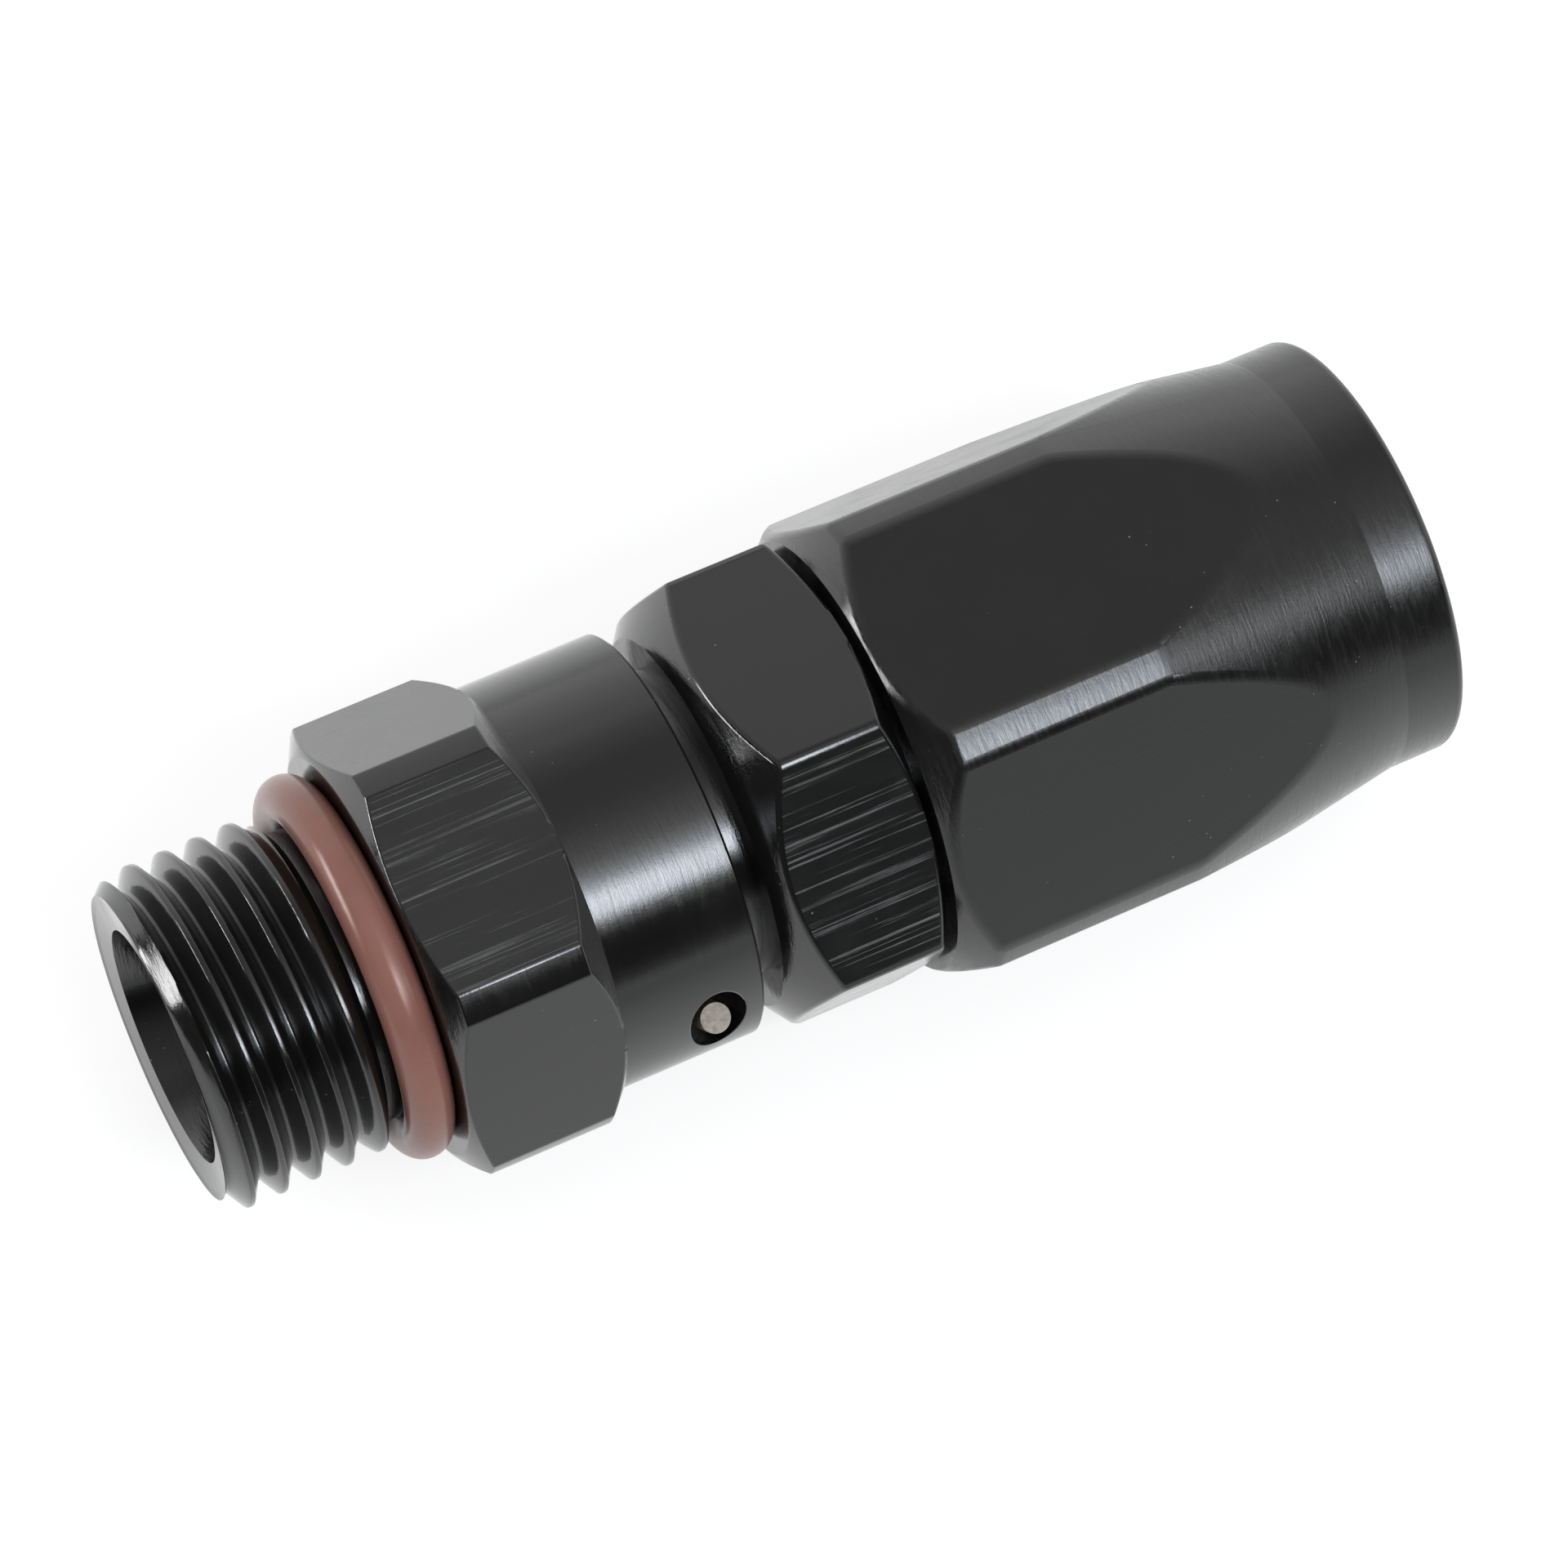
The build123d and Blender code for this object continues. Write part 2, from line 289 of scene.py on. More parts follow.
class Finish:
    """The node tree of one material or world, built from calls."""

    def __init__(self, owner):
        self.owner = owner
        owner.use_nodes = True
        self.tree = owner.node_tree
        self.tree.nodes.clear()

    def node(self, kind, settings=None, sockets=None, output=0):
        """Adds a node: its settings first, then the values or links of its sockets."""
        made = self.tree.nodes.new(kind)
        for name, value in (settings or {}).items():
            setattr(made, name, value)
        for name, value in (sockets or {}).items():
            if isinstance(value, Signal):
                self.tree.links.new(value.socket, made.inputs[name])
            else:
                made.inputs[name].default_value = value
        return Signal(self, made.outputs[output])

    def place(self):
        """Object coordinates in millimetres."""
        raw = self.node("ShaderNodeTexCoord", None, None, "Object")
        return self.node(
            "ShaderNodeVectorMath", {"operation": "SCALE"}, {0: raw, "Scale": 1.0 / MM})

    def layer(self, name):
        """Value that the mesh holds under a name."""
        return self.node("ShaderNodeAttribute", {"attribute_name": name}, None, "Fac")

    def ray(self, kind):
        """1 for the rays of a kind, such as Camera or Glossy, and 0 for all others."""
        return self.node("ShaderNodeLightPath", None, None, f"Is {kind} Ray")

    def step(self, signal, low, high):
        """Rises from 0 to 1 between two values of a signal."""
        return self.node(
            "ShaderNodeMapRange", None, {"Value": signal, "From Min": low, "From Max": high})

    def blend(self, factor, first, second):
        """Mixes two colours, which are RGB triples or signals."""
        pair = [
            colour if isinstance(colour, Signal) else (*colour, 1.0) for colour in (first, second)]
        return self.node(
            "ShaderNodeMix", {"data_type": "RGBA"}, {0: factor, 6: pair[0], 7: pair[1]}, 2)

    def noise(self, vector, grains, detail=2.0, roughness=0.5):
        """Noise from 0 to 1 with so many grains to the unit along each axis."""
        stretched = self.node(
            "ShaderNodeVectorMath", {"operation": "MULTIPLY"}, {0: vector, 1: grains})
        return self.node("ShaderNodeTexNoise", None, {
            "Vector": stretched, "Scale": 1.0, "Detail": detail, "Roughness": roughness}, "Fac")

    def bump(self, height, strength, depth):
        """Normal of a rough surface whose height is given, with its depth in millimetres."""
        return self.node("ShaderNodeBump", None, {
            "Strength": strength, "Distance": depth * MM, "Height": height})

    def surface(self, shader, end="ShaderNodeOutputMaterial"):
        """Closes the tree with its surface shader and gives back what it belongs to."""
        out = self.tree.nodes.new(end)
        self.tree.links.new(shader.socket, out.inputs["Surface"])
        return self.owner


def grey(value):
    """Opaque grey as a socket's colour."""
    return (value, value, value, 1.0)


# Finishes: grains to the millimetre along each axis, pairs of values between which a mask rises,
# depths in millimetres, and shares

TURNING_GRAINS = (6.5, 0.8, 0.8)
MILLING_GRAINS = (0.03, 6.5, 6.5)
BREAK_GRAINS = (0.15, 2.0, 2.0)
FINE_GRAINS = (14.0, 14.0, 14.0)
CLOUD_GRAINS = (0.3, 0.3, 0.3)
PATCH_GRAINS = (0.2, 0.2, 0.2)
SPECKS = 1.5
FLAT_RISE = (0.1, 0.2)
SCORED_RISE = (0.5, 0.9)
BREAK_RISE = (0.38, 0.56)
LINE_RISE = (0.54, 0.68)
PATCH_RISE = (0.54, 0.66)
SPECK_RISE = (0.065, 0.025)
TURNED_RISE = (0.40, 0.62)
CLOUD_RISE = (0.45, 0.75)
MILLING_RELIEF = 0.3
FINE_RELIEF = 0.15
LINE_RELIEF = 0.5
RELIEF_DEPTH = 0.018
CLOUD_SHADE = 1.4
LINE_SHADE = 0.6
CLOUD_ROUGH = 0.08
TURNED_ROUGH = 0.12
DUST_ROUGH = 0.4
LINE_ROUGH = 0.2
SCORED_ROUGH = 0.14
ANODISED_IOR = 1.68
BLOOM_GRAINS = (0.8, 0.8, 0.8)
RUBBER_GRAINS = (12.0, 12.0, 12.0)
BLOOM_SHADE = 1.25
BLOOM_ROUGH = 0.15
RUBBER_RELIEF = 0.2
RUBBER_DEPTH = 0.01
RUBBER_IOR = 1.45
SHEAR_GRAINS = (5.0, 5.0, 5.0)
SHEAR_RISE = (0.35, 0.65)
SHEAR_SHADE = 0.6
SHEAR_SPREAD = 0.2
SHEAR_RELIEF = 0.4
SHEAR_DEPTH = 0.04
STEEL_ROUGH = 0.45
STEEL_METALLIC = 0.1

# Haze and strength of the tool marks for each anodised slot, and roughness of each rubber
ANODISED_LOOKS = {
    "port_anodised": (0.07, 0.5),
    "nipple_anodised": (0.07, 0.5),
    "socket_anodised": (0.14, 0.8),
}
RUBBER_LOOKS = {"port_seal": 0.18, "swivel_seal": 0.4}


def scaled(colour, share):
    """RGB triple times a number."""
    return [channel * share for channel in colour]


def anodised_finish(finish, haze, tooling):
    """Glossy black anodising over turned and milled aluminium, with some haze and tool marks."""
    colours = bpy.context.scene.hose_end_colours
    place = finish.place()
    milled = finish.layer("milled")
    flat = finish.step(milled, *FLAT_RISE)
    scored = finish.step(milled, *SCORED_RISE)
    turning = finish.noise(place, TURNING_GRAINS, detail=4.0, roughness=0.7)
    milling = finish.noise(place, MILLING_GRAINS, detail=5.0, roughness=0.75)
    grain = finish.noise(place, FINE_GRAINS, detail=1.0)
    cloud = finish.noise(place, CLOUD_GRAINS, detail=4.0, roughness=0.6)
    broken = finish.step(finish.noise(place, BREAK_GRAINS), *BREAK_RISE)
    lines = finish.step(milling, *LINE_RISE) * broken * scored
    height = turning * (1.0 - flat) + milling * flat * MILLING_RELIEF
    height = height + grain * FINE_RELIEF + lines * LINE_RELIEF
    specks = finish.node(
        "ShaderNodeTexVoronoi", None, {"Vector": place, "Scale": SPECKS}, "Distance")
    patches = finish.step(finish.noise(place, PATCH_GRAINS, detail=1.0), *PATCH_RISE)
    dust = finish.step(specks, *SPECK_RISE) * patches
    shade = finish.blend(cloud, colours.anodised, scaled(colours.anodised, CLOUD_SHADE))
    shade = finish.blend(lines * LINE_SHADE, shade, colours.worn)
    shade = finish.blend(dust, shade, colours.dust)
    turned = finish.step(turning, *TURNED_RISE) * (1.0 - flat)
    rough = finish.step(cloud, *CLOUD_RISE) * CLOUD_ROUGH + turned * tooling * TURNED_ROUGH
    rough = rough + haze + dust * DUST_ROUGH
    rough = rough + lines * LINE_ROUGH + scored * SCORED_ROUGH
    return finish.surface(finish.node("ShaderNodeBsdfPrincipled", None, {
        "Base Color": shade, "Roughness": rough,
        "Normal": finish.bump(height, tooling, RELIEF_DEPTH), "IOR": ANODISED_IOR}))


def rubber_finish(finish, colour, dullness):
    """Moulded rubber with a faint bloom."""
    place = finish.place()
    bloom = finish.noise(place, BLOOM_GRAINS, detail=4.0)
    grain = finish.noise(place, RUBBER_GRAINS)
    return finish.surface(finish.node("ShaderNodeBsdfPrincipled", None, {
        "Base Color": finish.blend(bloom, colour, scaled(colour, BLOOM_SHADE)),
        "Roughness": bloom * BLOOM_ROUGH + dullness,
        "Normal": finish.bump(grain, RUBBER_RELIEF, RUBBER_DEPTH), "IOR": RUBBER_IOR}))


def steel_finish(finish, colour):
    """Drawn steel wire with a dull sheared end."""
    shear = finish.noise(finish.place(), SHEAR_GRAINS, detail=4.0, roughness=0.6)
    shade = finish.blend(finish.step(shear, *SHEAR_RISE), scaled(colour, SHEAR_SHADE), colour)
    return finish.surface(finish.node("ShaderNodeBsdfPrincipled", None, {
        "Base Color": shade, "Roughness": shear * SHEAR_SPREAD + STEEL_ROUGH,
        "Metallic": shear * SHEAR_SPREAD + STEEL_METALLIC,
        "Normal": finish.bump(shear, SHEAR_RELIEF, SHEAR_DEPTH)}))


def finish_for(slot):
    """Material of a slot, made once."""
    name = slot + "_finish"
    if name in bpy.data.materials:
        return bpy.data.materials[name]
    colours = bpy.context.scene.hose_end_colours
    finish = Finish(bpy.data.materials.new(name))
    if slot in ANODISED_LOOKS:
        return anodised_finish(finish, *ANODISED_LOOKS[slot])
    if slot in RUBBER_LOOKS:
        return rubber_finish(finish, getattr(colours, slot), RUBBER_LOOKS[slot])
    return steel_finish(finish, colours.steel)


# Modelling helpers, all in millimetres until a piece is finished


def profile_line(bm, points, close=False):
    """Vertices and edges of a turned outline, given as stations and radii."""
    verts = [bm.verts.new((x, 0.0, r)) for x, r in points]
    edges = [bm.edges.new(pair) for pair in zip(verts, verts[1:])]
    if close:
        edges.append(bm.edges.new((verts[-1], verts[0])))
    return verts, edges


def turn(bm, points, close=False):
    """Turns an outline about the axis, as on a lathe."""
    verts, edges = profile_line(bm, points, close)
    steps = bpy.context.scene.hose_end_sizes.round_steps
    bmesh.ops.spin(
        bm, geom=verts + edges, cent=(0, 0, 0), axis=(1, 0, 0), dvec=(0, 0, 0),
        angle=2 * pi, steps=steps, use_merge=True, use_duplicate=False)


def arc(x, r, radius, first, last, steps):
    """Stations and radii of an arc about a station and radius, between two angles in degrees."""
    angles = [radians(first + (last - first) * i / steps) for i in range(steps + 1)]
    return [(x + radius * cos(a), r + radius * sin(a)) for a in angles]


def open_loops(bm, low, high):
    """Open edges whose stations all lie between two limits or close to them."""
    return [
        edge for edge in bm.edges
        if len(edge.link_faces) == 1
        and all(low - NEAR <= v.co.x <= high + NEAR for v in edge.verts)]


def cut_away(bm, place, way):
    """Cuts off all that lies beyond a plane, and gives the edges of the cut back."""
    cut = bmesh.ops.bisect_plane(
        bm, geom=bm.verts[:] + bm.edges[:] + bm.faces[:], dist=CUT_DIST,
        plane_co=place, plane_no=way, clear_outer=True)
    return [item for item in cut["geom_cut"] if isinstance(item, bmesh.types.BMEdge)]


def flat_normals(turned):
    """Outward directions of a hex's six flats."""
    angles = [radians(turned + 30 + 60 * i) for i in range(6)]
    return [Vector((0, cos(angle), sin(angle))) for angle in angles]


def mill_flats(bm, across_flats, turned):
    """Cuts six flats and closes them."""
    for normal in flat_normals(turned):
        rim = cut_away(bm, normal * across_flats / 2, normal)
        bmesh.ops.contextual_create(bm, geom=rim)


def clear_corners(bm, station):
    """Joins the flats' outlines to their corners at a station, so that a wide rounding fits."""
    joined = {}
    for face in bm.faces:
        if len(face.verts) > MOST_TURNED_CORNERS:
            for loop in face.loops:
                if abs(loop.vert.co.x - station) < SAME:
                    for near in (loop.link_loop_prev.vert, loop.link_loop_next.vert):
                        if near.co.x < station - SAME:
                            joined[near] = loop.vert
    bmesh.ops.weld_verts(bm, targetmap=joined)


def face_layer(layers, name):
    """Layer of values on the faces, made when it is first asked for."""
    return layers.get(name) or layers.new(name)


def break_edges(bm, width, low, high, segments=3, sharper_than=24, beyond=0.0):
    """Rounds the sharp edges between two stations and beyond a radius, and marks the new faces."""
    rounded = face_layer(bm.faces.layers.int, "rounded")
    bmesh.ops.recalc_face_normals(bm, faces=bm.faces[:])
    bm.normal_update()
    edges = [
        edge for edge in bm.edges
        if len(edge.link_faces) == 2 and edge.calc_face_angle(0) > radians(sharper_than)
        and all(low <= v.co.x <= high and hypot(v.co.y, v.co.z) >= beyond for v in edge.verts)]
    made = bmesh.ops.bevel(
        bm, geom=edges, offset=width, offset_type="OFFSET", segments=segments, profile=0.5,
        affect="EDGES", material=-1, clamp_overlap=False)
    for face in made["faces"]:
        face[rounded] = 1


def mark_flats(bm, across_flats, turned, scored):
    """Gives the milled faces their share of scoring, one value for each flat."""
    milled = face_layer(bm.faces.layers.float, "milled")
    bm.normal_update()
    for normal, share in zip(flat_normals(turned), scored):
        for face in bm.faces:
            if face.normal.dot(normal) > SAME_WAY:
                if abs(face.calc_center_median().dot(normal) - across_flats / 2) < SAME:
                    face[milled] = share


def sharpen(bm):
    """Marks the creases: all but the small faces of roundings, threads and turned steps."""
    bm.normal_update()
    rounded = face_layer(bm.faces.layers.int, "rounded")
    milled = face_layer(bm.faces.layers.float, "milled")

    def fine(face):
        stations = [v.co.x for v in face.verts]
        radii = [hypot(v.co.y, v.co.z) for v in face.verts]
        reach = hypot(max(stations) - min(stations), max(radii) - min(radii))
        return face[rounded] or reach < FINE_FACE

    for edge in bm.edges:
        if len(edge.link_faces) == 2:
            small = all(fine(face) for face in edge.link_faces)
            on_flat = any(face[milled] for face in edge.link_faces)
            limit = radians(FINE_CREASE if small else PLAIN_CREASE)
            edge.smooth = edge.calc_face_angle(0) < limit and not on_flat


def helix(bm, pitch, major_r, depth, front, rear, shift):
    """Sweeps one pitch of a thread along its helix, a little longer than its stretch."""
    outline = [*THREAD_FORM, *((1 - u, d) for u, d in reversed(THREAD_FORM[:-1]))]
    turns = int((rear - front) / pitch) + SPARE_TURNS
    start = front + shift - LEAD_TURNS * pitch
    verts, edges = profile_line(bm, [(start + u * pitch, major_r - depth * d) for u, d in outline])
    bmesh.ops.spin(
        bm, geom=verts + edges, cent=(0, 0, 0), axis=(1, 0, 0), dvec=(pitch / TURN_STEPS, 0, 0),
        angle=2 * pi * turns, steps=TURN_STEPS * turns, use_merge=False, use_duplicate=False)
    bmesh.ops.remove_doubles(bm, verts=bm.verts[:], dist=SAME)


def limit_radius(verts, limit):
    """Moves each vertex to the radius that the function gives for its station and radius."""
    for v in verts:
        r = hypot(v.co.y, v.co.z)
        wanted = limit(v.co.x, r)
        v.co.y *= wanted / r
        v.co.z *= wanted / r


def add_object(name, data):
    """Object of a mesh, lamp or camera in the scene."""
    made = bpy.data.objects.new(name, data)
    bpy.context.scene.collection.objects.link(made)
    return made


def mesh_object(bm, name):
    """Object of a bmesh, which is used up."""
    mesh = bpy.data.meshes.new(name)
    bm.to_mesh(mesh)
    bm.free()
    return add_object(name, mesh)


def drilled(bm, start, way, radius, length):
    """Drills a round hole from a point along a direction, and gives the drilled body back."""
    cutter = bmesh.new()
    bmesh.ops.create_cone(
        cutter, cap_ends=True, segments=HOLE_STEPS, radius1=radius, radius2=radius, depth=length)
    turned = way.to_track_quat("Z", "Y").to_matrix().to_4x4()
    bmesh.ops.transform(
        cutter, matrix=Matrix.Translation(start + way * length / 2) @ turned,
        verts=cutter.verts[:])
    for part in (bm, cutter):
        bmesh.ops.recalc_face_normals(part, faces=part.faces[:])
    blank = mesh_object(bm, "blank")
    drill = mesh_object(cutter, "drill")
    cut = blank.modifiers.new("hole", "BOOLEAN")
    cut.operation = "DIFFERENCE"
    cut.solver = "EXACT"
    cut.object = drill
    bpy.context.view_layer.update()
    shaped = blank.evaluated_get(bpy.context.evaluated_depsgraph_get())
    result = bmesh.new()
    result.from_mesh(shaped.to_mesh())
    shaped.to_mesh_clear()
    for body in (blank, drill):
        mesh = body.data
        bpy.data.objects.remove(body)
        bpy.data.meshes.remove(mesh)
    return result


def finish_piece(bm, name, body, node, slot):
    """Makes the finished object from a bmesh in millimetres and ties it to the frame."""
    bmesh.ops.recalc_face_normals(bm, faces=bm.faces[:])
    sharpen(bm)
    bmesh.ops.scale(bm, vec=(MM, MM, MM), verts=bm.verts[:])
    for face in bm.faces:
        face.smooth = True
    piece = mesh_object(bm, name)
    piece.data.materials.append(finish_for(slot))
    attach(piece, body)
    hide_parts(node)


class HOSEEND_OT_port_body(bpy.types.Operator):
    """Port body with its cut thread, hex, swivel collar and slanted wire hole"""

    bl_idname = "hose_end.port_body"
    bl_label = "Port body"

    def execute(self, context):
        sizes = context.scene.hose_end_sizes
        major = sizes.major_radius / MM
        edge_break = sizes.edge_break / MM
        bm = bmesh.new()
        helix(
            bm, sizes.pitch / MM, major, sizes.thread_depth / MM, 0.0, THREAD_END,
            sizes.thread_shift / MM)

        def chamfer_and_run_out(x, r):
            fade = min(1.0, max(0.0, (x - RUN_OUT_START) / RUN_OUT_LENGTH))
            filled = r + (major - r) * fade * RUN_OUT_FILL
            return min(filled, major - THREAD_CHAMFER + max(x, 0.0))

        limit_radius(bm.verts, chamfer_and_run_out)
        for station, way in ((0.0, -1), (THREAD_END, 1)):
            cut_away(bm, Vector((station, 0, 0)), Vector((way, 0, 0)))
        bevel = (PORT_TURNED_R - SEAT_R) * tan(radians(PORT_BEVEL))
        turn(bm, [
            (GROOVE_FRONT, GROOVE_R), (SEAT, GROOVE_R), (SEAT, SEAT_R),
            (SEAT + bevel, PORT_TURNED_R), (PORT_HEX_REAR, PORT_TURNED_R), (COLLAR_FRONT, COLLAR_R),
            (COLLAR_REAR - COLLAR_EDGE, COLLAR_R), (COLLAR_REAR, COLLAR_R - COLLAR_EDGE),
            (COLLAR_REAR, SWIVEL_BORE_R + SWIVEL_BORE_CHAMFER),
            (COLLAR_REAR - SWIVEL_BORE_CHAMFER, SWIVEL_BORE_R),
            *arc(WIRE_X, SWIVEL_BORE_R, WIRE_GROOVE_R, 0, 180, ARC_STEPS),
            (SHOULDER, SWIVEL_BORE_R), (SHOULDER, ENTRY_R), (ENTRY_END, ENTRY_R),
            (DISH_DEPTH, PORT_BORE_R), (LIP_X, LIP_R)])
        for front, rear in ((0.0, LIP_X), (THREAD_END, GROOVE_FRONT)):
            bmesh.ops.bridge_loops(bm, edges=open_loops(bm, front, rear))
        entry = radians(WIRE_ENTRY)
        bm = drilled(
            bm, Vector((WIRE_X, SWIVEL_BORE_R * cos(entry), SWIVEL_BORE_R * sin(entry))),
            Vector((0, sin(entry), -cos(entry))), WIRE_HOLE_R, DRILL_LENGTH)
        break_edges(
            bm, edge_break, WIRE_X - HOLE_BAND, WIRE_X + HOLE_BAND, segments=2,
            beyond=COLLAR_R - HOLE_RIM_DEPTH)
        mill_flats(bm, PORT_FLATS, PORT_TURN)
        break_edges(bm, edge_break, SEAT - NEAR, PORT_HEX_REAR + FLATS_RUN_OUT)
        mark_flats(bm, PORT_FLATS, PORT_TURN, PORT_SCORED)
        finish_piece(bm, "port_body_cut", "port_end", "port_body", "port_anodised")
        return {"FINISHED"}


class HOSEEND_OT_nipple(bpy.types.Operator):
    """Nipple with swivel stem, middle hex, shank and barbed insert"""

    bl_idname = "hose_end.nipple"
    bl_label = "Nipple"

    def execute(self, context):
        sizes = context.scene.hose_end_sizes
        outline = [
            (STEM_FRONT, FLOW_R + FLOW_CHAMFER), (STEM_FRONT, STEM_R - STEM_CHAMFER),
            (STEM_FRONT + STEM_CHAMFER, STEM_R)]
        half_groove = STEM_GROOVE_WIDTH / 2
        for ring in (FRONT_RING, REAR_RING):
            outline += [
                (ring - half_groove, STEM_R), (ring - half_groove, STEM_GROOVE_R),
                (ring + half_groove, STEM_GROOVE_R), (ring + half_groove, STEM_R)]
        wire_groove = arc(WIRE_X, SWIVEL_BORE_R, WIRE_GROOVE_R, 180, 360, ARC_STEPS)
        outline += [(x, r) for x, r in wire_groove if r < STEM_R]
        front_rise = (MIDDLE_TURNED_R - MIDDLE_FRONT_R) / tan(radians(MIDDLE_FRONT_BEVEL))
        rear_fall = (MIDDLE_TURNED_R - MIDDLE_REAR_R) / tan(radians(MIDDLE_REAR_BEVEL))
        outline += [
            (MIDDLE_FRONT, STEM_R), (MIDDLE_FRONT, MIDDLE_FRONT_R),
            (MIDDLE_FRONT + front_rise, MIDDLE_TURNED_R),
            (MIDDLE_REAR - rear_fall, MIDDLE_TURNED_R),
            (MIDDLE_REAR, MIDDLE_REAR_R), (MIDDLE_REAR, SHANK_R),
            (SHANK_END - SHANK_CHAMFER, SHANK_R), (SHANK_END, SHANK_R - SHANK_CHAMFER),
            (SHANK_END, CUTTER_ROOT_R), (SHANK_END + CUTTER_LENGTH, CUTTER_TIP_R),
            (SHANK_END - CUTTER_POCKET, INSERT_ROOT_R)]
        taper = (INSERT_ROOT_R - INSERT_TIP_R) / (INSERT_TIP - SHANK_END)
        for i in range(BARBS):
            end = INSERT_TIP - BARB_TO_TIP - (BARBS - 1 - i) * BARB_PITCH
            foot_r = INSERT_ROOT_R - taper * (end - SHANK_END)
            outline += [
                (end - BARB_RUN, foot_r + taper * BARB_RUN), (end, foot_r + BARB_HEIGHT),
                (end, foot_r)]
        outline += [
            (INSERT_TIP - INSERT_CHAMFER, INSERT_TIP_R),
            (INSERT_TIP, INSERT_TIP_R - INSERT_CHAMFER),
            (INSERT_TIP, FLOW_R + FLOW_CHAMFER), (INSERT_TIP - FLOW_CHAMFER, FLOW_R),
            (STEM_FRONT + FLOW_CHAMFER, FLOW_R)]
        bm = bmesh.new()
        turn(bm, outline, close=True)
        mill_flats(bm, MIDDLE_FLATS, MIDDLE_TURN)
        break_edges(
            bm, sizes.corner_break / MM, MIDDLE_FRONT + NEAR, MIDDLE_REAR - NEAR, segments=4)
        mark_flats(bm, MIDDLE_FLATS, MIDDLE_TURN, MIDDLE_SCORED)
        finish_piece(bm, "nipple_turned", "nipple", "nipple", "nipple_anodised")
        return {"FINISHED"}


class HOSEEND_OT_socket(bpy.types.Operator):
    """Hose socket with hex, long cone, rim and ribbed bore"""

    bl_idname = "hose_end.socket"
    bl_label = "Hose socket"

    def execute(self, context):
        sizes = context.scene.hose_end_sizes
        chamfer_rear = SOCKET_FRONT + SOCKET_CHAMFER
        outline = [
            (SOCKET_FRONT, SCREW_BORE_R + SCREW_BORE_CHAMFER),
            (SOCKET_FRONT, SOCKET_TURNED_R - SOCKET_CHAMFER), (chamfer_rear, SOCKET_TURNED_R),
            (CONE_FRONT, SOCKET_TURNED_R), (RIM_FRONT, RIM_R),
            *arc(RIM_REAR - RIM_ROUND, RIM_R - RIM_ROUND, RIM_ROUND, 90, 0, RIM_STEPS),
            (RIM_REAR, MOUTH_R + MOUTH_CHAMFER), (RIM_REAR - MOUTH_CHAMFER, MOUTH_R),
            (MOUTH_FRONT, MOUTH_R)]
        for i in range(RIBS):
            rear = MOUTH_FRONT - i * RIB_PITCH
            outline += [
                (rear, HOSE_BORE_R), (rear - RIB_RAMP, HOSE_BORE_R - RIB_HEIGHT),
                (rear - RIB_WIDTH, HOSE_BORE_R - RIB_HEIGHT), (rear - RIB_WIDTH, HOSE_BORE_R)]
        outline += [
            (SCREW_BORE_END, HOSE_BORE_R), (SCREW_BORE_END, SCREW_BORE_R),
            (SOCKET_FRONT + SCREW_BORE_CHAMFER, SCREW_BORE_R)]
        bm = bmesh.new()
        turn(bm, outline, close=True)
        mill_flats(bm, SOCKET_FLATS, SOCKET_TURN)
        clear_corners(bm, chamfer_rear)
        break_edges(
            bm, sizes.socket_break / MM, SOCKET_FRONT + NEAR, RIM_FRONT - NEAR, segments=5,
            sharper_than=8)
        mark_flats(bm, SOCKET_FLATS, SOCKET_TURN, SOCKET_SCORED)
        finish_piece(bm, "hose_socket_turned", "socket", "hose_socket", "socket_anodised")
        return {"FINISHED"}


class HOSEEND_OT_port_seal(bpy.types.Operator):
    """O-ring of the port thread"""

    bl_idname = "hose_end.port_seal"
    bl_label = "Port O-ring"

    def execute(self, context):
        station = SEAT - SEAL_GAP - SEAL_SECTION_R
        section = arc(
            station, GROOVE_R + SEAL_SECTION_R, SEAL_SECTION_R, 0, 360 - 360 / SEAL_STEPS,
            SEAL_STEPS - 1)
        bm = bmesh.new()
        turn(bm, section, close=True)
        finish_piece(bm, "port_seal_ring", "port_end", "port_o_ring", "port_seal")
        return {"FINISHED"}


SOLID_SLOTS = {
    "port_body": "port_anodised",
    "nipple": "nipple_anodised",
    "hose_socket": "socket_anodised",
    "port_o_ring": "port_seal",
    "swivel_o_ring_front": "swivel_seal",
    "swivel_o_ring_rear": "swivel_seal",
    "retaining_wire": "wire_steel",
}


class HOSEEND_OT_solids(bpy.types.Operator):
    """Finishes for the wire, the two O-rings inside the swivel and the plain solids"""

    bl_idname = "hose_end.solids"
    bl_label = "Wire and swivel O-rings"

    def execute(self, context):
        for node, slot in SOLID_SLOTS.items():
            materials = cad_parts[node].data.materials
            materials.clear()
            materials.append(finish_for(slot))
        return {"FINISHED"}


# The stage, in metres

MIDDLE = Vector((0.027, 0.0, 0.0))
SEAL_MIDDLE = Vector((0.0084, 0.0, 0.0))
LAMP_TINT = (0.91, 0.95, 1.0)
WHITE = (1.0, 1.0, 1.0)
WINDOW_TINT = (0.86, 0.91, 1.0)
WINDOW_TINT_RISE = (1.2, 4.0)
LAMP_SHINE = 5.0
KEY_FIRST = 36
KEY_LAST = 62
KEY_REACH = 0.486
KEY_LENGTH = 0.28
KEY_SHIFT = 0.117
LEFT_LAMP_WAY = Vector((-0.83, 0.33, 0.45))
LEFT_LAMP_REACH = 0.30
LEFT_LAMP_WIDTH = 0.055
LEFT_LAMP_HEIGHT = 0.15
STRIP_WAY = Vector((-0.87, 0.40, 0.25))
STRIP_REACH = 0.3
STRIP_WIDTH = 0.16
STRIP_HEIGHT = 0.07
